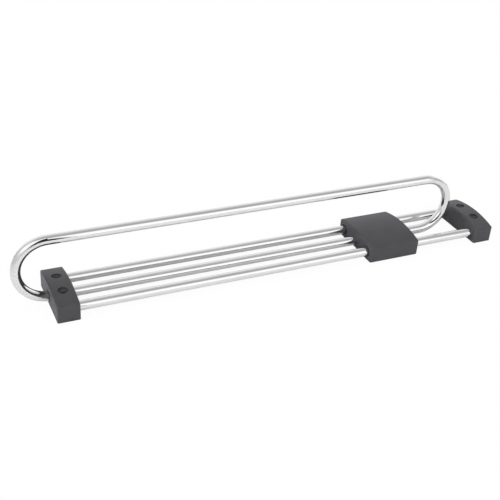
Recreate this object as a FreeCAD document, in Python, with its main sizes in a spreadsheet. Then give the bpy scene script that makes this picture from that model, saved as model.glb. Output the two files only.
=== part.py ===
import FreeCAD, Part
import math
import os

import Sketcher

# Pull-out closet valet rod.  Two moulded end blocks are screwed under a wardrobe shelf and hold
# two parallel guide rods.  A slider runs on the guide rods and carries a rod that is bent to a
# long loop; the loop's lower run also slides through the front block.  Pulled out at the front,
# the loop holds clothes hangers in front of the wardrobe.
#
# Frame, in millimetres: the mounting faces lie in the plane z = 0 and +Z points away from the
# shelf.  X runs along the rods, -X is the front, where the loop pulls out.  The origin is the
# centre of the four mounting holes.  The loop is in its stored, pushed-in position.

SIZES = {
    # end blocks
    "frame_length": 400.0,       # outer face to outer face of the two end blocks
    "block_length": 18.0,        # along the rods
    "side_wall": 4.0,            # from a guide rod out to the block's side
    "floor_thickness": 3.5,      # from the mounting plane up to the rods
    "roof_thickness": 2.6,       # from the rods up to where the crown starts
    "crown_rise": 4.0,           # height of the arched top
    "edge_radius": 1.2,          # rounding of the moulded edges
    "relief_depth": 1.0,         # shallow recesses in the mounting face
    "relief_rim": 2.2,           # rim that is left round them
    "relief_corner": 1.0,
    # mounting screws
    "screw_spacing": 21.0,       # between the two screws of a block
    "screw_hole_diameter": 4.5,
    "screw_head_diameter": 8.0,
    "screw_head_sink": 2.2,      # countersink's rim below the crown's crest
    "screw_pad_radius": 4.0,     # solid pad round each hole in the mounting face
    # rods
    "rod_diameter": 8.0,
    "rod_gap": 12.0,             # clear width between the loop's lower run and a guide rod
    "rod_chamfer": 0.6,
    "socket_end_wall": 5.0,      # block left behind a guide rod's end
    # slotted pins that lock the guide rods in their sockets
    "pin_from_rod_end": 6.5,
    "pin_diameter": 3.0,
    "pin_wall": 0.6,
    "pin_slot": 0.7,
    "pin_sink": 0.4,             # pin's lower end above the floor of the relief
    # hanging loop
    "bend_radius": 25.0,         # to the rod's axis
    "bend_setback": 1.3,         # front bend starts this far inside the front block's face
    "rear_gap": 14.5,            # rear bend to rear block, pushed in
    "tail_straight": 18.0,       # slider to the start of the rear bend
    "loop_joint_gap": 1.0,       # between the rod's two ends, inside the slider
    # slider
    "slider_length": 48.0,
    "shelf_clearance": 0.5,      # slider's underside above the mounting plane
    "shell_wall": 2.2,
    "rib_thickness": 2.0,
    "core_headroom": 1.0,        # cored cells reach this far above the rods
    "core_corner": 0.8,
    "seat_shoulder": 1.5,        # behind each bush
    # clamp strap and its screws
    "strap_bite": 1.0,           # strap's cradle reaches this far up the rod
    "strap_side_wall": 1.2,      # between the strap's channel and its neighbours
    "strap_inset": 0.8,          # strap's end behind the slider's end face
    "channel_wall": 1.6,         # beside the rod's channel
    "peg_diameter": 3.5,
    "peg_reach": 3.2,            # up into the rod
    "peg_offset": 8.0,           # from the slider's middle
    "clamp_screw_offset": 16.0,  # from the slider's middle
    "clamp_screw_diameter": 2.9,
    "clamp_head_diameter": 5.6,
    "clamp_screw_length": 11.0,
    "clamp_point_length": 2.0,
    "clamp_point_diameter": 0.6,
    "clamp_boss_wall": 2.0,
    "drive_width": 0.9,          # arms of the cross recess
    "drive_span": 3.0,
    "drive_depth": 1.1,
    # bushes
    "bush_wall": 1.0,
    "bush_length": 12.0,
    "bush_inset": 0.3,           # behind the face that it is pressed into
    "bush_chamfer": 0.3,
    "flange_width": 1.2,
    "flange_thickness": 1.0,
    # fits, each on the radius or on one side
    "running_clearance": 0.08,   # sliding rod in a bush
    "seat_clearance": 0.05,      # fixed piece in its seat
    "free_clearance": 0.5,       # sliding rod in a moulding that doesn't guide it
}

document = FreeCAD.newDocument("valet_rod")
sheet = document.addObject("Spreadsheet::Sheet", "Dimensions")
for row, (alias, number) in enumerate(SIZES.items(), start=1):
    sheet.set("A%d" % row, alias)
    sheet.set("B%d" % row, str(number))
    sheet.setAlias("B%d" % row, alias)
document.recompute()


class Size:
    """A length with its value and the formula over the sheet's cells that it comes from."""

    def __init__(self, value, formula):
        self.value = value
        self.formula = formula

    def combined(self, other, sign, value):
        return Size(value, "(%s %s %s)" % (self.formula, sign, as_size(other).formula))

    def __add__(self, other):
        return self.combined(other, "+", self.value + as_size(other).value)

    def __sub__(self, other):
        return self.combined(other, "-", self.value - as_size(other).value)

    def __mul__(self, other):
        return self.combined(other, "*", self.value * as_size(other).value)

    def __truediv__(self, other):
        return self.combined(other, "/", self.value / as_size(other).value)

    def __neg__(self):
        return Size(-self.value, "(-1 * %s)" % self.formula)


def as_size(length):
    return length if isinstance(length, Size) else Size(float(length), str(length))


def size(alias):
    """The driving dimension in the sheet's cell of that name."""
    return Size(float(sheet.get(alias)), "Dimensions." + alias)


def bind(thing, path, length):
    thing.setExpression(path, as_size(length).formula)


# ---------------------------------------------------------------- derived sizes and places

ZERO = as_size(0)
ROD_RADIUS = size("rod_diameter") / 2
ROD_HEIGHT = size("floor_thickness") + ROD_RADIUS
GUIDE_OFFSET = size("rod_diameter") + size("rod_gap")
HALF_WIDTH = GUIDE_OFFSET + ROD_RADIUS + size("side_wall")
SIDE_HEIGHT = ROD_HEIGHT + ROD_RADIUS + size("roof_thickness")
CREST_HEIGHT = SIDE_HEIGHT + size("crown_rise")

BLOCK_CENTRE = (size("frame_length") - size("block_length")) / 2
HALF_BLOCK = size("block_length") / 2
SCREW_OFFSET = size("screw_spacing") / 2
SOCKET_DEPTH = size("block_length") - size("socket_end_wall")
HALF_GUIDE_ROD = size("frame_length") / 2 - size("socket_end_wall")
PIN_DISTANCE = HALF_GUIDE_ROD - size("pin_from_rod_end")
SOCKET_RADIUS = ROD_RADIUS + size("seat_clearance")
PIN_HOLE_DIAMETER = size("pin_diameter") + size("seat_clearance") * 2

BUSH_BORE_RADIUS = ROD_RADIUS + size("running_clearance")
BUSH_RADIUS = BUSH_BORE_RADIUS + size("bush_wall")
BUSH_SEAT_RADIUS = BUSH_RADIUS + size("seat_clearance")
FLANGE_RADIUS = BUSH_RADIUS + size("flange_width")
FREE_BORE_RADIUS = ROD_RADIUS + size("free_clearance")

LOOP_STRAIGHT = (
    size("frame_length") - size("block_length") - size("bend_setback")
    - size("bend_radius") - ROD_RADIUS - size("rear_gap")
)
HALF_SLIDER = size("slider_length") / 2
REAR_BEND = HALF_SLIDER + size("tail_straight")
FRONT_BEND = REAR_BEND - LOOP_STRAIGHT
SLIDER_CENTRE = size("bend_setback") - size("frame_length") / 2 - FRONT_BEND

STRAP_TOP = size("floor_thickness") + size("strap_bite")
STRAP_CHANNEL_HALF = GUIDE_OFFSET - BUSH_SEAT_RADIUS - size("strap_side_wall")
STRAP_HALF_WIDTH = STRAP_CHANNEL_HALF - size("seat_clearance") * 2
PEG_TOP = size("floor_thickness") + size("peg_reach")
CLAMP_SCREW_SIDE = GUIDE_OFFSET / 2
CELL_TOP = ROD_HEIGHT + ROD_RADIUS + size("core_headroom")


# ---------------------------------------------------------------- sketches

def new_body(name, x=ZERO, y=ZERO, z=ZERO, turned=False):
    """A body at a bound place; turned bodies face the other way along X."""
    body = document.addObject("PartDesign::Body", name)
    body.Label = name
    if turned:
        body.Placement = FreeCAD.Placement(FreeCAD.Vector(), FreeCAD.Rotation(180, 0, 0))
    bind(body, "Placement.Base.x", x)
    bind(body, "Placement.Base.y", y)
    bind(body, "Placement.Base.z", z)
    return body


def origin_plane(body, role):
    return next(feature for feature in body.Origin.OriginFeatures if feature.Role == role)


def new_sketch(body, role, name, offset=None):
    """A sketch on an origin plane, moved along the plane's normal."""
    sketch = body.newObject("Sketcher::SketchObject", name)
    sketch.AttachmentSupport = [(origin_plane(body, role), "")]
    sketch.MapMode = "FlatFace"
    if offset is not None:
        bind(sketch, "AttachmentOffset.Base.z", offset)
    return sketch


def constrain(sketch, length, kind, *where):
    """Add a dimension whose value follows the sheet."""
    index = sketch.addConstraint(Sketcher.Constraint(kind, *where, length.value))
    bind(sketch, "Constraints[%d]" % index, length)


def place_point(sketch, geometry, end, x, y):
    """Hold a point of the sketch at (x, y)."""
    for kind, axis, length in (("DistanceX", -2, x), ("DistanceY", -1, y)):
        if length is ZERO:
            sketch.addConstraint(Sketcher.Constraint("PointOnObject", geometry, end, axis))
        else:
            constrain(sketch, length, kind, -1, 1, geometry, end)


def vector(x, y):
    return FreeCAD.Vector(x.value, y.value, 0)


def add_polygon(sketch, corners):
    """A closed outline of straight edges through bound corners."""
    first = sketch.GeometryCount
    count = len(corners)
    for index, corner in enumerate(corners):
        following = corners[(index + 1) % count]
        sketch.addGeometry(Part.LineSegment(vector(*corner), vector(*following)), False)
    for index, corner in enumerate(corners):
        edge = first + index
        before = first + (index - 1) % count
        sketch.addConstraint(Sketcher.Constraint("Coincident", before, 2, edge, 1))
        place_point(sketch, edge, 1, *corner)


def add_rectangle(sketch, low_x, high_x, low_y, high_y):
    add_polygon(sketch, [(low_x, low_y), (high_x, low_y), (high_x, high_y), (low_x, high_y)])


def add_circle(sketch, x, y, radius):
    circle = sketch.addGeometry(Part.Circle(vector(x, y), FreeCAD.Vector(0, 0, 1), radius.value))
    place_point(sketch, circle, 3, x, y)
    constrain(sketch, radius, "Radius", circle)


def add_crowned_section(sketch, bottom):
    """Flat bottom, upright sides and an arched top."""
    corners = [(-HALF_WIDTH, SIDE_HEIGHT), (-HALF_WIDTH, bottom), (HALF_WIDTH, bottom)]
    corners.append((HALF_WIDTH, SIDE_HEIGHT))
    lines = []
    for start, end in zip(corners, corners[1:]):
        lines.append(sketch.addGeometry(Part.LineSegment(vector(*start), vector(*end)), False))
    crest = (ZERO, CREST_HEIGHT)
    crown = sketch.addGeometry(Part.Arc(vector(*corners[3]), vector(*crest), vector(*corners[0])))
    crest_point = sketch.addGeometry(Part.Point(vector(*crest)), True)
    for line, corner in zip(lines, corners):
        place_point(sketch, line, 1, *corner)
    place_point(sketch, lines[2], 2, *corners[3])
    sketch.addConstraint(Sketcher.Constraint("Coincident", lines[0], 2, lines[1], 1))
    sketch.addConstraint(Sketcher.Constraint("Coincident", lines[1], 2, lines[2], 1))
    sketch.addConstraint(Sketcher.Constraint("Coincident", lines[2], 2, crown, 1))
    sketch.addConstraint(Sketcher.Constraint("Coincident", crown, 2, lines[0], 1))
    place_point(sketch, crest_point, 1, *crest)
    sketch.addConstraint(Sketcher.Constraint("PointOnObject", crest_point, 1, crown))


# ---------------------------------------------------------------- features

def pad(body, sketch, length, symmetric=False):
    feature = body.newObject("PartDesign::Pad", sketch.Name + "_pad")
    feature.Profile = sketch
    feature.SideType = "Symmetric" if symmetric else "One side"
    bind(feature, "Length", length)
    sketch.Visibility = False
    document.recompute()
    return feature


def require_cut(feature, volume_before):
    """A cut that points away from the solid removes nothing and shows no error."""
    document.recompute()
    if feature.Shape.Volume > volume_before - 0.01:
        raise RuntimeError(feature.Name + " removes no material")
    return feature


def pocket(body, sketch, length=None, symmetric=False, upward=False):
    """Cut a profile; with no length it goes right through."""
    volume_before = body.Shape.Volume
    feature = body.newObject("PartDesign::Pocket", sketch.Name + "_pocket")
    feature.Profile = sketch
    feature.SideType = "Symmetric" if symmetric else "One side"
    feature.Reversed = upward
    if length is None:
        feature.Type = "ThroughAll"
    else:
        bind(feature, "Length", length)
    sketch.Visibility = False
    return require_cut(feature, volume_before)


def groove(body, sketch):
    """Turn a profile about the sketch's upright axis and cut it."""
    volume_before = body.Shape.Volume
    feature = body.newObject("PartDesign::Groove", sketch.Name + "_groove")
    feature.Profile = sketch
    feature.ReferenceAxis = (sketch, ["V_Axis"])
    feature.Angle = 360
    sketch.Visibility = False
    return require_cut(feature, volume_before)


def revolve(body, sketch, axis):
    feature = body.newObject("PartDesign::Revolution", sketch.Name + "_turned")
    feature.Profile = sketch
    feature.ReferenceAxis = (sketch, [axis])
    feature.Angle = 360
    sketch.Visibility = False
    document.recompute()
    return feature


def mirror(body, features, role):
    """Repeat features on the other side of an origin plane."""
    volume_before = body.Shape.Volume
    feature = body.newObject("PartDesign::Mirrored", features[-1].Name + "_mirrored")
    feature.Originals = features
    feature.MirrorPlane = (origin_plane(body, role), [""])
    body.Tip = feature
    return require_cut(feature, volume_before)


def edge_names(feature, wanted):
    """Names of the edges that pass a test."""
    edges = enumerate(feature.Shape.Edges, start=1)
    return ["Edge%d" % number for number, edge in edges if wanted(edge)]


def fillet(body, radius, wanted):
    base = body.Tip
    feature = body.newObject("PartDesign::Fillet", base.Name + "_round")
    feature.Base = (base, edge_names(base, wanted))
    bind(feature, "Radius", radius)
    document.recompute()
    return feature


def chamfer(body, width, wanted):
    base = body.Tip
    feature = body.newObject("PartDesign::Chamfer", base.Name + "_chamfer")
    feature.Base = (base, edge_names(base, wanted))
    bind(feature, "Size", width)
    document.recompute()
    return feature


def near(number, other):
    return abs(number - other) < 0.001


def stands_between(edge, low, high):
    """True for an upright edge that spans exactly those heights."""
    box = edge.BoundBox
    return near(box.ZMin, low.value) and near(box.ZMax, high.value) and box.DiagonalLength < (
        high.value - low.value + 0.001)


def rounds_bore(edge, radius, x):
    """True for a full circle of that radius in the plane of that x."""
    box = edge.BoundBox
    return (near(box.XMin, x.value) and near(box.XMax, x.value)
            and near(edge.Length, 2 * math.pi * radius.value))


# ---------------------------------------------------------------- end blocks

def crowned_block(body, length, bottom):
    """The moulded form that the blocks and the slider share, rounded above its flat bottom."""
    section = new_sketch(body, "YZ_Plane", body.Name + "_section")
    add_crowned_section(section, bottom)
    pad(body, section, length, symmetric=True)
    fillet(body, size("edge_radius"), lambda edge: edge.BoundBox.ZMax > bottom.value + 0.001)


def mounting_screw_holes(body):
    """Two countersunk holes between the rods, turned and mirrored."""
    profile = new_sketch(body, "XZ_Plane", body.Name + "_screw_hole", -SCREW_OFFSET)
    hole_radius = size("screw_hole_diameter") / 2
    head_radius = size("screw_head_diameter") / 2
    rim = CREST_HEIGHT - size("screw_head_sink")
    add_polygon(profile, [
        (ZERO, ZERO),
        (hole_radius, ZERO),
        (hole_radius, rim - head_radius + hole_radius),
        (head_radius, rim),
        (head_radius, CREST_HEIGHT),
        (ZERO, CREST_HEIGHT),
    ])
    hole = groove(body, profile)
    mirror(body, [hole], "XZ_Plane")


def guide_sockets(body):
    """Blind sockets in the inner face, each with a hole for its locking pin."""
    sockets = new_sketch(body, "YZ_Plane", body.Name + "_sockets", HALF_BLOCK)
    pin_holes = new_sketch(body, "XY_Plane", body.Name + "_pin_holes")
    for side in (GUIDE_OFFSET, -GUIDE_OFFSET):
        add_circle(sockets, side, ROD_HEIGHT, SOCKET_RADIUS)
        add_circle(pin_holes, BLOCK_CENTRE - PIN_DISTANCE, side, PIN_HOLE_DIAMETER / 2)
    pocket(body, sockets, SOCKET_DEPTH)
    pocket(body, pin_holes, ROD_HEIGHT, upward=True)


def mounting_face_relief(body):
    """Shallow recesses that leave a rim and the two screw pads in the mounting plane."""
    recesses = new_sketch(body, "XY_Plane", body.Name + "_relief")
    end = HALF_BLOCK - size("relief_rim")
    middle = SCREW_OFFSET - size("screw_pad_radius")
    outer_from = SCREW_OFFSET + size("screw_pad_radius")
    outer_to = HALF_WIDTH - size("relief_rim")
    for low, high in ((-outer_to, -outer_from), (-middle, middle), (outer_from, outer_to)):
        add_rectangle(recesses, -end, end, low, high)
    pocket(body, recesses, size("relief_depth"), upward=True)
    fillet(body, size("relief_corner"),
           lambda edge: stands_between(edge, ZERO, size("relief_depth"))
           and near(abs(edge.BoundBox.Center.x), end.value))


def loop_passage(body):
    """Bore for the loop's lower run, with a seat for the flanged bush at the inner face."""
    for name, radius, depth in (
        ("bore", FREE_BORE_RADIUS, None),
        ("bush_seat", BUSH_SEAT_RADIUS, size("bush_length")),
        ("flange_seat", FLANGE_RADIUS + size("seat_clearance"), size("flange_thickness")),
    ):
        sketch = new_sketch(body, "YZ_Plane", body.Name + "_" + name, HALF_BLOCK)
        add_circle(sketch, ZERO, ROD_HEIGHT, radius)
        pocket(body, sketch, depth)
    chamfer(body, size("rod_chamfer"),
            lambda edge: rounds_bore(edge, FREE_BORE_RADIUS, -HALF_BLOCK))


def end_block(name, centre, turned, carries_loop):
    body = new_body(name, x=centre, turned=turned)
    crowned_block(body, size("block_length"), ZERO)
    mounting_screw_holes(body)
    mounting_face_relief(body)
    guide_sockets(body)
    if carries_loop:
        loop_passage(body)
    return body


# ---------------------------------------------------------------- rods and pins

def guide_rod(name, side):
    """A straight rod with a cross hole near each end for its locking pin."""
    body = new_body(name, y=side, z=ROD_HEIGHT)
    section = new_sketch(body, "YZ_Plane", name + "_section")
    add_circle(section, ZERO, ZERO, ROD_RADIUS)
    pad(body, section, HALF_GUIDE_ROD * 2, symmetric=True)
    chamfer(body, size("rod_chamfer"), lambda edge: edge.isClosed())
    holes = new_sketch(body, "XY_Plane", name + "_pin_holes")
    for place in (PIN_DISTANCE, -PIN_DISTANCE):
        add_circle(holes, place, ZERO, PIN_HOLE_DIAMETER / 2)
    pocket(body, holes)
    return body


def rod_pin(name, x, y):
    """A slotted spring pin, driven up from the mounting face into the rod."""
    foot = size("relief_depth") + size("pin_sink")
    body = new_body(name, x=x, y=y, z=foot)
    outer = size("pin_diameter") / 2
    ring = new_sketch(body, "XY_Plane", name + "_ring")
    add_circle(ring, ZERO, ZERO, outer)
    add_circle(ring, ZERO, ZERO, outer - size("pin_wall"))
    pad(body, ring, ROD_HEIGHT - foot - size("seat_clearance"))
    slot = new_sketch(body, "XY_Plane", name + "_slot")
    half_slot = size("pin_slot") / 2
    add_rectangle(slot, ZERO, outer * 2, -half_slot, half_slot)
    pocket(body, slot, upward=True)
    return body


def hanging_loop():
    """One rod bent to a long loop whose two ends meet inside the slider."""
    body = new_body("hanging_loop", x=SLIDER_CENTRE)
    radius = size("bend_radius")
    top = ROD_HEIGHT + radius * 2
    rod_end = size("loop_joint_gap") / 2
    path = new_sketch(body, "XZ_Plane", "loop_path")
    lower_rear = path.addGeometry(
        Part.LineSegment(vector(rod_end, ROD_HEIGHT), vector(REAR_BEND, ROD_HEIGHT)))
    rear_bend = path.addGeometry(Part.Arc(
        vector(REAR_BEND, ROD_HEIGHT),
        vector(REAR_BEND + radius, ROD_HEIGHT + radius),
        vector(REAR_BEND, top)))
    upper = path.addGeometry(Part.LineSegment(vector(REAR_BEND, top), vector(FRONT_BEND, top)))
    front_bend = path.addGeometry(Part.Arc(
        vector(FRONT_BEND, top),
        vector(FRONT_BEND - radius, ROD_HEIGHT + radius),
        vector(FRONT_BEND, ROD_HEIGHT)))
    lower_front = path.addGeometry(
        Part.LineSegment(vector(FRONT_BEND, ROD_HEIGHT), vector(-rod_end, ROD_HEIGHT)))
    runs = (lower_rear, rear_bend, upper, front_bend, lower_front)
    for before, after in zip(runs, runs[1:]):
        path.addConstraint(Sketcher.Constraint("Tangent", before, 2, after, 1))
    for run in (lower_rear, upper, lower_front):
        path.addConstraint(Sketcher.Constraint("Horizontal", run))
    constrain(path, radius, "Radius", rear_bend)
    place_point(path, lower_rear, 1, rod_end, ROD_HEIGHT)
    place_point(path, lower_front, 2, -rod_end, ROD_HEIGHT)
    constrain(path, REAR_BEND, "DistanceX", -1, 1, rear_bend, 3)
    constrain(path, FRONT_BEND, "DistanceX", -1, 1, front_bend, 3)

    section = new_sketch(body, "YZ_Plane", "loop_section", rod_end)
    add_circle(section, ZERO, ROD_HEIGHT, ROD_RADIUS)
    document.recompute()
    bent_rod = body.newObject("PartDesign::AdditivePipe", "bent_rod")
    bent_rod.Profile = section
    bent_rod.Spine = (path, ["Edge%d" % number for number in range(1, len(runs) + 1)])
    path.Visibility = False
    section.Visibility = False
    document.recompute()

    peg_holes = new_sketch(body, "XY_Plane", "peg_holes", PEG_TOP + size("seat_clearance"))
    for place in (size("peg_offset"), -size("peg_offset")):
        add_circle(peg_holes, place, ZERO, size("peg_diameter") / 2 + size("seat_clearance"))
    pocket(body, peg_holes, size("peg_reach") * 2)
    return body


# ---------------------------------------------------------------- bushes

def add_ring_profile(sketch, inner, outer, length):
    """Half section of a plain sleeve whose middle lies on the sketch's upright axis."""
    add_rectangle(sketch, -length / 2, length / 2, inner, outer)


def glide_bush(name, x, y):
    """A plain sleeve in the slider that runs on a guide rod."""
    body = new_body(name, x=x, y=y, z=ROD_HEIGHT)
    profile = new_sketch(body, "XZ_Plane", name + "_profile")
    add_ring_profile(profile, BUSH_BORE_RADIUS, BUSH_RADIUS, size("bush_length"))
    revolve(body, profile, "H_Axis")
    chamfer(body, size("bush_chamfer"), lambda edge: edge.isClosed())
    return body


def loop_guide_bush():
    """A flanged sleeve in the front block's inner face that guides the loop."""
    length = size("bush_length") - size("bush_inset")
    body = new_body("loop_guide_bush", x=HALF_BLOCK - BLOCK_CENTRE, z=ROD_HEIGHT)
    profile = new_sketch(body, "XZ_Plane", "loop_guide_bush_profile")
    flange = size("flange_thickness")
    add_polygon(profile, [
        (-length, BUSH_BORE_RADIUS),
        (ZERO, BUSH_BORE_RADIUS),
        (ZERO, FLANGE_RADIUS),
        (-flange, FLANGE_RADIUS),
        (-flange, BUSH_RADIUS),
        (-length, BUSH_RADIUS),
    ])
    revolve(body, profile, "H_Axis")
    chamfer(body, size("bush_chamfer"),
            lambda edge: rounds_bore(edge, BUSH_BORE_RADIUS, ZERO)
            or rounds_bore(edge, BUSH_RADIUS, -length))
    return body


# ---------------------------------------------------------------- slider

def slider_housing():
    """Crowned moulding, cored from the shelf side, with bush seats and the loop's channel."""
    name = "slider_housing"
    body = new_body(name, x=SLIDER_CENTRE)
    crowned_block(body, size("slider_length"), size("shelf_clearance"))

    channel = new_sketch(body, "YZ_Plane", name + "_strap_channel")
    add_rectangle(channel, -STRAP_CHANNEL_HALF, STRAP_CHANNEL_HALF, ZERO, STRAP_TOP)
    pocket(body, channel, symmetric=True)
    loop_channel = new_sketch(body, "YZ_Plane", name + "_loop_channel")
    add_rectangle(loop_channel, -SOCKET_RADIUS, SOCKET_RADIUS, ZERO, ROD_HEIGHT)
    pocket(body, loop_channel, symmetric=True)
    bores = new_sketch(body, "YZ_Plane", name + "_bores")
    add_circle(bores, ZERO, ROD_HEIGHT, SOCKET_RADIUS)
    for side in (GUIDE_OFFSET, -GUIDE_OFFSET):
        add_circle(bores, side, ROD_HEIGHT, FREE_BORE_RADIUS)
    pocket(body, bores, symmetric=True)

    seats = new_sketch(body, "YZ_Plane", name + "_bush_seats", HALF_SLIDER)
    for side in (GUIDE_OFFSET, -GUIDE_OFFSET):
        add_circle(seats, side, ROD_HEIGHT, BUSH_SEAT_RADIUS)
    seat_pocket = pocket(body, seats, size("bush_length") + size("bush_inset"))
    mirror(body, [seat_pocket], "YZ_Plane")

    cells = new_sketch(body, "XY_Plane", name + "_lane_cells")
    cell_start = size("rib_thickness") / 2
    cell_end = HALF_SLIDER - size("bush_inset") - size("bush_length") - size("seat_shoulder")
    cell_inner = STRAP_CHANNEL_HALF + size("strap_side_wall")
    cell_outer = HALF_WIDTH - size("shell_wall")
    for low, high in ((cell_start, cell_end), (-cell_end, -cell_start)):
        add_rectangle(cells, low, high, cell_inner, cell_outer)
    lane_cells = pocket(body, cells, CELL_TOP, upward=True)
    mirror(body, [lane_cells], "XZ_Plane")
    fillet(body, size("core_corner"),
           lambda edge: stands_between(edge, size("shelf_clearance"), CELL_TOP)
           and near(abs(edge.BoundBox.Center.y), cell_outer.value))

    core = new_sketch(body, "XY_Plane", name + "_web_cells")
    boss_radius = size("clamp_screw_diameter") / 2 + size("clamp_boss_wall")
    core_half_length = size("clamp_screw_offset") - boss_radius
    core_inner = SOCKET_RADIUS + size("channel_wall")
    add_rectangle(core, -core_half_length, core_half_length, core_inner, STRAP_CHANNEL_HALF)
    web_cell = pocket(body, core, CELL_TOP, upward=True)
    mirror(body, [web_cell], "XZ_Plane")

    pilots = new_sketch(body, "XY_Plane", name + "_screw_pilots")
    pilot_radius = size("clamp_screw_diameter") / 2 + size("seat_clearance")
    for x, y in clamp_screw_places():
        add_circle(pilots, x, y, pilot_radius)
    pilot_top = size("shelf_clearance") + size("clamp_screw_length") + size("core_headroom")
    pocket(body, pilots, pilot_top, upward=True)
    return body


def clamp_screw_places():
    """Places of the four strap screws, from the slider's middle."""
    along = size("clamp_screw_offset")
    return [(x, y) for x in (-along, along) for y in (-CLAMP_SCREW_SIDE, CLAMP_SCREW_SIDE)]


def loop_clamp():
    """Strap that closes the loop's channel; its two pegs enter the rod and lock it."""
    name = "loop_clamp"
    body = new_body(name, x=SLIDER_CENTRE)
    plate = new_sketch(body, "YZ_Plane", name + "_plate")
    add_rectangle(plate, -STRAP_HALF_WIDTH, STRAP_HALF_WIDTH, size("shelf_clearance"), STRAP_TOP)
    pad(body, plate, (HALF_SLIDER - size("strap_inset")) * 2, symmetric=True)
    cradle = new_sketch(body, "YZ_Plane", name + "_cradle")
    add_circle(cradle, ZERO, ROD_HEIGHT, SOCKET_RADIUS)
    pocket(body, cradle, symmetric=True)

    pegs = new_sketch(body, "XY_Plane", name + "_pegs", size("shelf_clearance"))
    for place in (size("peg_offset"), -size("peg_offset")):
        add_circle(pegs, place, ZERO, size("peg_diameter") / 2)
    pad(body, pegs, PEG_TOP - size("shelf_clearance"))

    centres = new_sketch(body, "XY_Plane", name + "_screw_holes", size("shelf_clearance"))
    hole_radius = size("clamp_screw_diameter") / 2 + size("seat_clearance") * 2
    for x, y in clamp_screw_places():
        add_circle(centres, x, y, hole_radius)
    document.recompute()
    volume_before = body.Shape.Volume
    holes = body.newObject("PartDesign::Hole", name + "_countersunk_holes")
    holes.Profile = centres
    holes.Reversed = True
    holes.DepthType = "ThroughAll"
    holes.HoleCutType = "Countersink"
    bind(holes, "Diameter", hole_radius * 2)
    bind(holes, "HoleCutDiameter", size("clamp_head_diameter") + size("seat_clearance") * 4)
    holes.HoleCutCountersinkAngle = 90
    centres.Visibility = False
    require_cut(holes, volume_before)
    return body


def clamp_screw(name, x, y):
    """Countersunk self-tapping screw with a cross recess, its head flush with the strap."""
    body = new_body(name, x=x, y=y, z=size("shelf_clearance"))
    head = size("clamp_head_diameter") / 2
    shank = size("clamp_screw_diameter") / 2
    point = size("clamp_point_diameter") / 2
    length = size("clamp_screw_length")
    profile = new_sketch(body, "XZ_Plane", name + "_profile")
    add_polygon(profile, [
        (ZERO, ZERO),
        (head, ZERO),
        (shank, head - shank),
        (shank, length - size("clamp_point_length")),
        (point, length),
        (ZERO, length),
    ])
    revolve(body, profile, "V_Axis")
    half_arm = size("drive_width") / 2
    half_span = size("drive_span") / 2
    drive = new_sketch(body, "XY_Plane", name + "_drive")
    add_polygon(drive, [
        (half_span, -half_arm), (half_span, half_arm), (half_arm, half_arm),
        (half_arm, half_span), (-half_arm, half_span), (-half_arm, half_arm),
        (-half_span, half_arm), (-half_span, -half_arm), (-half_arm, -half_arm),
        (-half_arm, -half_span), (half_arm, -half_span), (half_arm, -half_arm),
    ])
    pocket(body, drive, size("drive_depth"), upward=True)
    return body


# ---------------------------------------------------------------- the assembly

end_block("front_end_block", -BLOCK_CENTRE, turned=False, carries_loop=True)
end_block("rear_end_block", BLOCK_CENTRE, turned=True, carries_loop=False)
loop_guide_bush()
hanging_loop()
slider_housing()
loop_clamp()

BUSH_DISTANCE = HALF_SLIDER - size("bush_inset") - size("bush_length") / 2
for side_name, side in (("near", -1), ("far", 1)):
    rod_y = GUIDE_OFFSET * side
    guide_rod("guide_rod_" + side_name, rod_y)
    for end_name, end in (("front", -1), ("rear", 1)):
        place_name = "%s_%s" % (end_name, side_name)
        rod_pin("rod_pin_" + place_name, PIN_DISTANCE * end, rod_y)
        glide_bush("glide_bush_" + place_name, SLIDER_CENTRE + BUSH_DISTANCE * end, rod_y)
        screw_x = SLIDER_CENTRE + size("clamp_screw_offset") * end
        clamp_screw("clamp_screw_" + place_name, screw_x, CLAMP_SCREW_SIDE * side)

document.recompute()
for item in document.Objects:
    if "Invalid" in item.State or "Error" in item.State:
        raise RuntimeError("%s failed: %s" % (item.Name, item.State))

os.makedirs("parts", exist_ok=True)
for item in document.Objects:
    if item.TypeId == "PartDesign::Body":
        if item.Shape.isNull() or not item.Shape.isValid():
            raise RuntimeError(item.Label + " has no valid shape")
        item.Shape.exportStep("parts/%s.step" % item.Label)
        print("%-24s volume %10.2f mm3" % (item.Label, item.Shape.Volume))
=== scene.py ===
import math

import bpy
from mathutils import Matrix, Vector

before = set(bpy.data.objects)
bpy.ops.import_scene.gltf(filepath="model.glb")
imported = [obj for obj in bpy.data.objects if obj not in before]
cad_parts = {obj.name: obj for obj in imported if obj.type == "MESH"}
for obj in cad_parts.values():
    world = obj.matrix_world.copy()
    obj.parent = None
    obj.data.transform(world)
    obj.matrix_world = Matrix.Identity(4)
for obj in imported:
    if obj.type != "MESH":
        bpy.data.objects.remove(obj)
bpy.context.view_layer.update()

# Metres.  The valet rod lies on its mounting faces at z = 0 with its loop upward; -X is its
# front end, and the camera stands on the -Y side.

# ---------------------------------------------------------------- camera

CAMERA_PLACE = Vector((-0.315791, -0.579116, 0.404822))
CAMERA_AZIMUTH = math.radians(-26.253)
CAMERA_ELEVATION = math.radians(31.007)
CAMERA_ROLL = math.radians(4.197)
FOCAL_PIXELS = 900.016
PICTURE_PIXELS = 500
SENSOR_MM = 36


def add_camera():
    data = bpy.data.cameras.new("camera")
    data.sensor_width = SENSOR_MM
    data.lens = SENSOR_MM * FOCAL_PIXELS / PICTURE_PIXELS
    data.clip_start = 0.01
    data.clip_end = 50
    camera = bpy.data.objects.new("camera", data)
    bpy.context.scene.collection.objects.link(camera)
    camera.matrix_world = (
        Matrix.Translation(CAMERA_PLACE)
        @ Matrix.Rotation(CAMERA_AZIMUTH, 4, "Z")
        @ Matrix.Rotation(math.pi / 2 - CAMERA_ELEVATION, 4, "X")
        @ Matrix.Rotation(CAMERA_ROLL, 4, "Z")
    )
    bpy.context.scene.camera = camera


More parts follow.
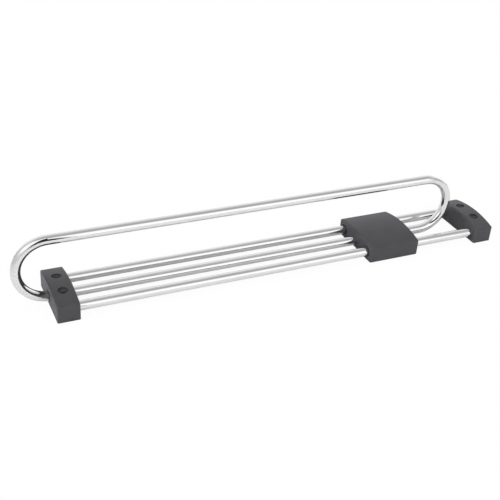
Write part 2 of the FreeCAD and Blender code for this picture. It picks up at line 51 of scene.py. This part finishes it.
# ---------------------------------------------------------------- node helpers

MIX_FIRST, MIX_SECOND, MIX_RESULT = 6, 7, 2  # colour sockets of the Mix node


class Nodes:
    """A node tree with short ways to add and join nodes."""

    def __init__(self, tree):
        self.tree = tree
        tree.nodes.clear()

    def add(self, kind, settings=None, **sockets):
        """Adds a node; a socket is given by its name with _ for spaces, or as i0, i1, ..."""
        node = self.tree.nodes.new(kind)
        for name, value in (settings or {}).items():
            setattr(node, name, value)
        for name, value in sockets.items():
            number = name[1:]
            self.put(node, int(number) if number.isdigit() else name.replace("_", " "), value)
        return node

    def put(self, node, socket, value):
        """Links a socket to another node's output, or sets its number or colour."""
        if isinstance(value, bpy.types.NodeSocket):
            self.tree.links.new(value, node.inputs[socket])
        else:
            node.inputs[socket].default_value = value

    def math(self, operation, *values):
        sockets = {f"i{place}": value for place, value in enumerate(values)}
        return self.add("ShaderNodeMath", {"operation": operation}, **sockets).outputs[0]

    def span(self, value, at_0, at_1, low=0.0, high=1.0):
        """low where the value is at_0, high where it is at_1, straight between, flat outside."""
        return self.add("ShaderNodeMapRange", Value=value, From_Min=at_0, From_Max=at_1,
                        To_Min=low, To_Max=high).outputs[0]

    def ramp(self, value, stops, smooth=False):
        """Colour ramp through (place, grey or colour) stops."""
        node = self.add("ShaderNodeValToRGB", Fac=value)
        node.color_ramp.interpolation = "EASE" if smooth else "LINEAR"
        points = node.color_ramp.elements
        while len(points) < len(stops):
            points.new(0.5)
        for point, (place, colour) in zip(points, stops):
            point.position = place
            if isinstance(colour, (int, float)):
                colour = (colour, colour, colour)
            point.color = (*colour, 1)
        return node.outputs["Color"]

    def mix(self, factor, first, second, blend="MIX"):
        settings = {"data_type": "RGBA", "blend_type": blend}
        node = self.add("ShaderNodeMix", settings, Factor=factor)
        for socket, colour in ((MIX_FIRST, first), (MIX_SECOND, second)):
            plain = isinstance(colour, tuple)
            self.put(node, socket, (*colour, 1) if plain else colour)
        return node.outputs[MIX_RESULT]

    def mix_shaders(self, factor, first, second):
        return self.add("ShaderNodeMixShader", i0=factor, i1=first.outputs[0],
                        i2=second.outputs[0]).outputs[0]

    def noise(self, vector, scale, detail, roughness=0.5, distortion=0.0):
        return self.add("ShaderNodeTexNoise", Vector=vector, Scale=scale, Detail=detail,
                        Roughness=roughness, Distortion=distortion).outputs["Fac"]

    def scaled(self, vector, scale):
        return self.add("ShaderNodeMapping", Vector=vector, Scale=scale).outputs[0]

    def bump(self, height, distance, strength, **below):
        return self.add("ShaderNodeBump", Height=height, Strength=strength,
                        Distance=distance, **below).outputs["Normal"]

    def place(self, kind="Object"):
        return self.add("ShaderNodeTexCoord").outputs[kind]

    def axis(self, vector, name):
        return self.add("ShaderNodeSeparateXYZ", Vector=vector).outputs[name]

    def edge_mask(self, radius):
        """1 on sharp edges and small rounds, 0 on flat and gently curved faces."""
        rounded = self.add("ShaderNodeBevel", {"samples": 6}, Radius=radius).outputs[0]
        true_normal = self.add("ShaderNodeNewGeometry").outputs["Normal"]
        dot = self.add("ShaderNodeVectorMath", {"operation": "DOT_PRODUCT"},
                       i0=rounded, i1=true_normal).outputs["Value"]
        return self.span(dot, at_0=0.995, at_1=0.9)


def node_material(name):
    material = bpy.data.materials.new(name)
    material.use_nodes = True
    return material, Nodes(material.node_tree)


def principled_material(name):
    material, nodes = node_material(name)
    shader = nodes.add("ShaderNodeBsdfPrincipled")
    nodes.add("ShaderNodeOutputMaterial", Surface=shader.outputs[0])
    return material, nodes, shader


# ---------------------------------------------------------------- materials

def chromed_steel():
    """Polished chrome: faint haze, hairline polishing marks along the rods."""
    material, nodes, shader = principled_material("chromed_steel")
    place = nodes.place()
    haze = nodes.noise(place, scale=55.0, detail=4.0, roughness=0.55)
    along_x = nodes.scaled(place, (14.0, 1500.0, 1500.0))
    hairlines = nodes.noise(along_x, scale=1.0, detail=3.0, roughness=0.6)
    tint = nodes.ramp(haze, [(0.3, (0.714, 0.713, 0.713)), (0.7, (0.748, 0.747, 0.746))])
    smear = nodes.ramp(haze, [(0.35, 0.02), (0.75, 0.05)])
    marks = nodes.ramp(hairlines, [(0.55, 0.0), (0.8, 0.04)])
    nodes.put(shader, "Base Color", tint)
    nodes.put(shader, "Metallic", 1.0)
    nodes.put(shader, "Roughness", nodes.math("ADD", smear, marks))
    nodes.put(shader, "Normal", nodes.bump(hairlines, distance=0.000004, strength=0.25))
    return material


def moulded_plastic(name, dark, light, grain, rough):
    """Moulded plastic with flow clouds, a fine grain and edges made lighter, partly as rubbed
    wear and partly as a painted edge highlight.
    """
    material, nodes, shader = principled_material(name)
    place = nodes.place()
    clouds = nodes.noise(place, scale=70.0, detail=4.0, roughness=0.6, distortion=0.4)
    specks = nodes.noise(place, scale=1500.0, detail=2.0)
    fine = nodes.noise(place, scale=2600.0, detail=2.0, roughness=0.6)

    clouded = nodes.mix(nodes.ramp(clouds, [(0.3, 0.0), (0.7, 1.0)]), dark, light)
    speckled = nodes.mix(nodes.ramp(specks, [(0.35, 0.0), (0.75, 0.22)]), clouded, light)
    # Painted highlight and wear: edges are made up to a fifth lighter, partly as rubbed wear and
    # partly as a painted highlight where the rounds catch the light.
    edge_patchiness = nodes.ramp(clouds, [(0.35, 0.25), (0.65, 0.9)])
    rub_and_highlight = nodes.math("MULTIPLY", nodes.edge_mask(radius=0.0006), edge_patchiness)
    wear_and_highlight_colour = tuple(1.2 * value for value in light)
    nodes.put(shader, "Base Color", nodes.mix(rub_and_highlight, speckled, wear_and_highlight_colour))

    mat = nodes.ramp(specks, [(0.3, rough - 0.05), (0.7, rough + 0.06)])
    polish = nodes.math("MULTIPLY", rub_and_highlight, 0.12)
    nodes.put(shader, "Roughness", nodes.math("SUBTRACT", mat, polish))
    nodes.put(shader, "IOR", 1.5)
    nodes.put(shader, "Specular IOR Level", 0.35)
    swell = nodes.bump(clouds, distance=0.00008, strength=0.35)
    nodes.put(shader, "Normal", nodes.bump(fine, distance=0.00002, strength=grain,
                                           Normal=swell))
    return material


def zinc_steel():
    """Zinc-plated steel: mottled blue-grey with turning marks."""
    material, nodes, shader = principled_material("zinc_steel")
    place = nodes.place()
    mottle = nodes.noise(place, scale=420.0, detail=4.0, roughness=0.6)
    across_z = nodes.scaled(place, (1800.0, 1800.0, 90.0))
    lines = nodes.noise(across_z, scale=1.0, detail=2.0)
    tint = nodes.ramp(mottle, [(0.3, (0.44, 0.46, 0.49)), (0.7, (0.60, 0.61, 0.62))])
    nodes.put(shader, "Base Color", tint)
    nodes.put(shader, "Metallic", 1.0)
    nodes.put(shader, "Roughness", nodes.ramp(lines, [(0.3, 0.24), (0.75, 0.42)]))
    nodes.put(shader, "Normal", nodes.bump(lines, distance=0.00001, strength=0.5))
    return material


def dress_nodes():
    """Gives every CAD piece the finish that its slot names."""
    finishes = {
        "chromed_steel": chromed_steel(),
        "dark_plastic": moulded_plastic(
            "dark_plastic", dark=(0.0375, 0.037, 0.0415), light=(0.0476, 0.047, 0.0528),
            grain=0.5, rough=0.48),
        "bush_plastic": moulded_plastic(
            "bush_plastic", dark=(0.0344, 0.034, 0.0374), light=(0.0445, 0.044, 0.0485),
            grain=0.2, rough=0.42),
        "zinc_steel": zinc_steel(),
    }
    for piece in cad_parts.values():
        for holder in piece.material_slots:
            holder.material = finishes[holder.material.name.split(".")[0]]


# ---------------------------------------------------------------- light and floor

WHITE = (1, 1, 1, 1)
FILL_COLOUR = (0.984, 0.98, 0.984, 1)
FILL_STRENGTH = 0.56      # in directions at right angles to X
FILL_SLOPE = -0.3         # its change from there to +X; to -X it is as much stronger
FLOOR_LEVEL = -0.0002     # just under the mounting faces
FLOOR_REACH = 4
SEEN_NEAR = 0.95          # white share of the floor that the camera sees by the part
SEEN_FAR = 1.0            # and beyond a metre from it
MIRRORED = 0.05           # white share of the floor that mirrors see


def light_world():
    """White to the camera and to mirrors; as light, a fill that falls off toward +X."""
    world = bpy.data.worlds.new("studio")
    bpy.context.scene.world = world
    world.use_nodes = True
    nodes = Nodes(world.node_tree)
    rays = nodes.add("ShaderNodeLightPath").outputs
    seen = nodes.math("MAXIMUM", rays["Is Camera Ray"], rays["Is Glossy Ray"])
    seen = nodes.math("MAXIMUM", seen, rays["Is Transmission Ray"])
    toward_right = nodes.axis(nodes.place("Generated"), "X")
    strength = nodes.math("MULTIPLY_ADD", toward_right, FILL_SLOPE, FILL_STRENGTH)
    fill = nodes.add("ShaderNodeBackground", Color=FILL_COLOUR, Strength=strength)
    white = nodes.add("ShaderNodeBackground", Color=WHITE, Strength=1.0)
    nodes.add("ShaderNodeOutputWorld", Surface=nodes.mix_shaders(seen, fill, white))


def panel(name, corners):
    """A flat panel of the studio through its corners."""
    mesh = bpy.data.meshes.new(name)
    mesh.from_pydata(corners, [], [range(len(corners))])
    piece = bpy.data.objects.new(name, mesh)
    bpy.context.scene.collection.objects.link(piece)
    return piece


def rectangle(low, high):
    """Corners of an upright or level rectangle between two opposite corners."""
    if low[2] == high[2]:
        return [low, (high[0], low[1], low[2]), high, (low[0], high[1], low[2])]
    return [low, (high[0], high[1], low[2]), high, (low[0], low[1], high[2])]


def stops_between(low, high, stops):
    """Ramp stops from places in metres along a line that runs from low to high."""
    return [((place - low) / (high - low), value) for place, value in stops]


def floor_tone(nodes):
    """Pale paper with painted shade: greyer past the front end, where the light falls off, and a
    little dimmer under the rods as a painted shadow.
    """
    place = nodes.place()
    across, depth = nodes.axis(place, "X"), nodes.axis(place, "Y")
    # Painted shade: the paper goes from 0.93 by the part to 0.68 past the front end, where the
    # light falls off.
    painted_light_toward_part = nodes.span(across, at_0=-0.5, at_1=-0.22)
    shaded_paper = nodes.ramp(painted_light_toward_part, [(0.0, 0.68), (1.0, 0.93)])
    # Painted shadow: between the blocks the paper is up to a fifth darker in a strip under the
    # rods.
    low, high = -0.03, 0.05
    painted_rod_shadow = nodes.ramp(nodes.span(depth, at_0=low, at_1=high), stops_between(low, high, [
        (-0.0236, 1.0), (-0.014, 0.9), (0.0004, 0.87), (0.01, 0.8), (0.022, 0.78),
        (0.042, 1.0)]))
    between_blocks = nodes.span(nodes.math("ABSOLUTE", across), at_0=0.205, at_1=0.175)
    rod_shadowed_paper = nodes.mix(1.0, shaded_paper, painted_rod_shadow, "MULTIPLY")
    return nodes.mix(between_blocks, shaded_paper, rod_shadowed_paper)


def add_floor():
    """A floor that is shown nearly white, so that the part's shadow stays faint on it."""
    floor = panel("floor", rectangle((-FLOOR_REACH, -FLOOR_REACH, FLOOR_LEVEL),
                                     (FLOOR_REACH, FLOOR_REACH, FLOOR_LEVEL)))
    material, nodes = node_material("floor_white")
    shaded_paper = nodes.add("ShaderNodeBsdfDiffuse", Color=floor_tone(nodes))
    white = nodes.add("ShaderNodeEmission", Color=WHITE, Strength=1.0)
    away = nodes.add("ShaderNodeVectorMath", {"operation": "LENGTH"},
                     i0=nodes.place()).outputs["Value"]
    whiteness = nodes.span(away, at_0=0.4, at_1=1.0, low=SEEN_NEAR, high=SEEN_FAR)
    rays = nodes.add("ShaderNodeLightPath").outputs
    to_camera = nodes.math("MULTIPLY", rays["Is Camera Ray"], whiteness)
    to_mirror = nodes.math("MAXIMUM", rays["Is Glossy Ray"], rays["Is Transmission Ray"])
    to_mirror = nodes.math("MULTIPLY", to_mirror, MIRRORED)
    share = nodes.math("MAXIMUM", to_camera, to_mirror)
    nodes.add("ShaderNodeOutputMaterial", Surface=nodes.mix_shaders(share, shaded_paper, white))
    floor.data.materials.append(material)


def add_softbox(name, centre, size, radiance, target=(0, 0, 0)):
    """A rectangular lamp that points at the target and that no mirror shows."""
    width, height = size
    data = bpy.data.lights.new(name, "AREA")
    data.shape = "RECTANGLE"
    data.size = width
    data.size_y = height
    data.energy = radiance * math.pi * width * height
    lamp = bpy.data.objects.new(name, data)
    bpy.context.scene.collection.objects.link(lamp)
    away = (Vector(centre) - Vector(target)).normalized()
    across = Vector((0, 0, 1)).cross(away).normalized()
    axes = Matrix((across, away.cross(across), away)).transposed().to_4x4()
    lamp.matrix_world = Matrix.Translation(Vector(centre)) @ axes
    lamp.visible_camera = False
    lamp.visible_glossy = False


# ---------------------------------------------------------------- cards for the chrome

CEILING = 1.7


def add_card(name, corners, brightness, shade, cover):
    """A panel that only mirrors see.

    The shade and the cover each map an axis to stops of (place in metres, value): how bright
    the card is there, and how much of it is there at all.
    """
    card = panel(name, corners)
    ends = {axis: (min(places), max(places)) for axis, places in zip("XYZ", zip(*corners))}
    material, nodes = node_material(name)
    place = nodes.place("Generated")

    def along(axis, stops):
        return nodes.ramp(nodes.axis(place, axis), stops_between(*ends[axis], stops),
                          smooth=True)

    glow = nodes.add("ShaderNodeEmission", Color=along(*shade), Strength=brightness)
    clear = nodes.add("ShaderNodeBsdfTransparent")
    surface = nodes.mix_shaders(along(*cover), clear, glow)
    nodes.add("ShaderNodeOutputMaterial", Surface=surface)
    card.data.materials.append(material)
    card.visible_camera = False
    card.visible_diffuse = False
    card.visible_shadow = False
    card.visible_transmission = False
    card.visible_volume_scatter = False


def level_place(angle, height):
    """Y where a level panel at a height is seen at an angle above the -Y horizon."""
    return -height / math.tan(math.radians(angle))


def add_walls():
    """Bright and grey walls round the part."""
    front_y, back_y = -2.3, 2.6
    add_card("front_wall", rectangle((-3.4, front_y, 0.05), (3.2, front_y, 2.7)),
             brightness=1.4,
             shade=("Z", [(0.05, 0.75), (0.35, 0.95), (0.9, 1.0), (2.7, 0.97)]),
             cover=("X", [(-3.4, 0.0), (-2.8, 1.0), (2.6, 1.0), (3.2, 0.0)]))
    add_card("back_wall", rectangle((-2.8, back_y, 0.1), (3.4, back_y, 2.5)),
             brightness=1.12,
             shade=("Z", [(0.1, 0.95), (0.8, 1.0), (2.5, 0.88)]),
             cover=("X", [(-2.8, 0.0), (-1.8, 1.0), (2.4, 1.0), (3.4, 0.0)]))

    light_x, grey_x = 2.2, 1.3
    add_card("right_light", rectangle((light_x, -0.5, 0.0), (light_x, 2.6, 1.6)),
             brightness=1.37,
             shade=("Z", [(0.0, 1.0), (1.1, 1.0), (1.6, 0.85)]),
             cover=("Y", [(-0.5, 0.0), (0.1, 0.6), (0.6, 1.0), (2.2, 1.0), (2.6, 0.0)]))
    add_card("right_grey", rectangle((grey_x, -1.5, 0.0), (grey_x, 0.05, 1.35)),
             brightness=0.6,
             shade=("Z", [(0.0, 0.95), (1.35, 1.1)]),
             cover=("Y", [(-1.5, 0.0), (-1.1, 0.9), (-0.8, 1.0), (-0.4, 0.75), (0.05, 0.0)]))

    light_x, grey_x = -1.0, -1.05
    add_card("left_wall", rectangle((light_x, -2.2, 0.0), (light_x, 0.3, 1.4)),
             brightness=1.35,
             shade=("Z", [(0.0, 0.54), (0.2, 0.60), (0.33, 0.70), (0.43, 0.88), (0.6, 1.0),
                          (1.4, 0.93)]),
             cover=("Y", [(-2.2, 0.9), (-0.3, 1.0), (-0.05, 0.9), (0.3, 0.0)]))
    add_card("left_grey", rectangle((grey_x, -0.3, 0.0), (grey_x, 1.2, 1.5)),
             brightness=0.7,
             shade=("Z", [(0.0, 1.0), (1.5, 1.0)]),
             cover=("Y", [(-0.3, 0.0), (-0.2, 1.0), (0.75, 1.0), (1.2, 0.0)]))


def add_ceiling():
    """A grey ceiling with a cut-out at its left front, and a skylight over the cut-out."""
    seen_at = [(41, 1.55), (49, 1.18), (55, 0.82), (63, 0.61), (72, 0.53), (86, 0.52),
               (98, 0.59), (110, 0.71), (125, 0.88), (138, 1.08)]
    stops = [(level_place(angle, CEILING), tone) for angle, tone in seen_at]
    # ceiling_front is seen at 41 to 66 degrees, the ceiling at 66 to 138.
    near, bend, far = (level_place(angle, CEILING) for angle in (41, 66, 138))
    outline = [(-2.1, 0.1), (-1.16, -0.13), (-0.89, -0.29), (-0.79, -0.456), (-0.66, -0.59),
               (-0.5, -0.68), (-0.3, bend), (2.0, bend), (2.0, far), (-2.1, far)]
    add_card("ceiling", [(x, y, CEILING) for x, y in outline],
             brightness=1.0,
             shade=("Y", stops[3:]),
             cover=("X", [(-2.1, 0.0), (-1.7, 0.4), (-1.3, 0.75), (-0.95, 1.0), (1.4, 1.0),
                          (2.0, 0.0)]))
    add_card("ceiling_front", rectangle((-0.15, near, CEILING), (2.0, bend, CEILING)),
             brightness=1.0,
             shade=("Y", stops[:5]),
             cover=("X", [(-0.15, 0.0), (0.16, 1.0), (1.4, 1.0), (2.0, 0.0)]))
    above = CEILING + 0.02
    add_card("skylight", rectangle((-2.6, -2.2, above), (0.2, 0.15, above)),
             brightness=1.4,
             shade=("Y", [(-2.2, 1.0), (-0.3, 1.0), (0.15, 0.6)]),
             cover=("X", [(-2.6, 0.0), (-1.9, 1.0), (0.2, 1.0)]))


def add_flags():
    """Dark flags that draw the dark lines in the two bends."""
    flag_y = -0.9
    outline = [(0.02, 0.06), (0.02, 1.55), (-0.20, 1.30), (-0.32, 1.12), (-0.45, 0.92),
               (-0.57, 0.73), (-0.73, 0.54), (-1.0, 0.40), (-1.0, 0.12), (-0.5, 0.06)]
    add_card("dark_flag", [(x, flag_y, z) for x, z in outline],
             brightness=0.03,
             shade=("Z", [(0.06, 1.0), (1.55, 1.0)]),
             cover=("X", [(-1.0, 0.0), (-0.75, 0.12), (-0.62, 0.35), (-0.5, 0.65),
                          (-0.4, 0.88), (-0.3, 1.0), (-0.02, 1.0), (0.02, 0.0)]))

    # In an upright plane through the front bend, so edge on to it: the rear bend shows it.
    front_x, slope = -0.215, math.tan(math.radians(12))
    outline = [(1.3, 0.05), (1.2, 0.11), (0.9, 0.225), (0.75, 0.30), (0.6, 0.37),
               (0.5, 0.43), (0.4, 0.52), (0.37, 0.56), (0.37, 0.86), (0.4, 0.93),
               (0.5, 1.08), (0.6, 1.22), (0.75, 1.42), (0.9, 1.6), (1.2, 1.66), (1.3, 1.66)]
    add_card("rear_flag", [(front_x + away * slope, -away, z) for away, z in outline],
             brightness=0.04,
             shade=("Z", [(0.05, 1.0), (1.66, 1.0)]),
             cover=("Y", [(-1.3, 0.8), (-1.2, 1.0), (-0.5, 1.0), (-0.42, 0.8),
                          (-0.37, 0.5)]))

    # Just off the front block's outer face, a dark sheet that paints a reflection: the block's
    # reflection in the loop looks longer.
    flag_x = -0.1995
    outline = [(-0.024, 0.0145), (0.024, 0.0145), (0.024, 0.0176), (0.012, 0.0198),
               (0.0, 0.0206), (-0.012, 0.0198), (-0.024, 0.0176)]
    add_card("painted_block_reflection", [(flag_x, y, z) for y, z in outline],
             brightness=0.05,
             shade=("Z", [(0.0145, 1.0), (0.0206, 1.0)]),
             cover=("Y", [(-0.024, 1.0), (0.024, 1.0)]))


def light_studio():
    light_world()
    add_floor()
    add_walls()
    add_ceiling()
    add_flags()
    add_softbox("key_softbox", centre=(0.3, -2.3, 1.15), size=(5.0, 1.5), radiance=1.7,
                target=(0.1, 0, 0))
    add_softbox("top_softbox", centre=(0.0, 0.1, 2.2), size=(3.0, 2.0), radiance=0.95)
    add_softbox("side_softbox", centre=(-2.4, -0.2, 0.42), size=(1.8, 0.7), radiance=9.2)


bpy.context.scene.view_settings.view_transform = "Standard"
add_camera()
dress_nodes()
light_studio()
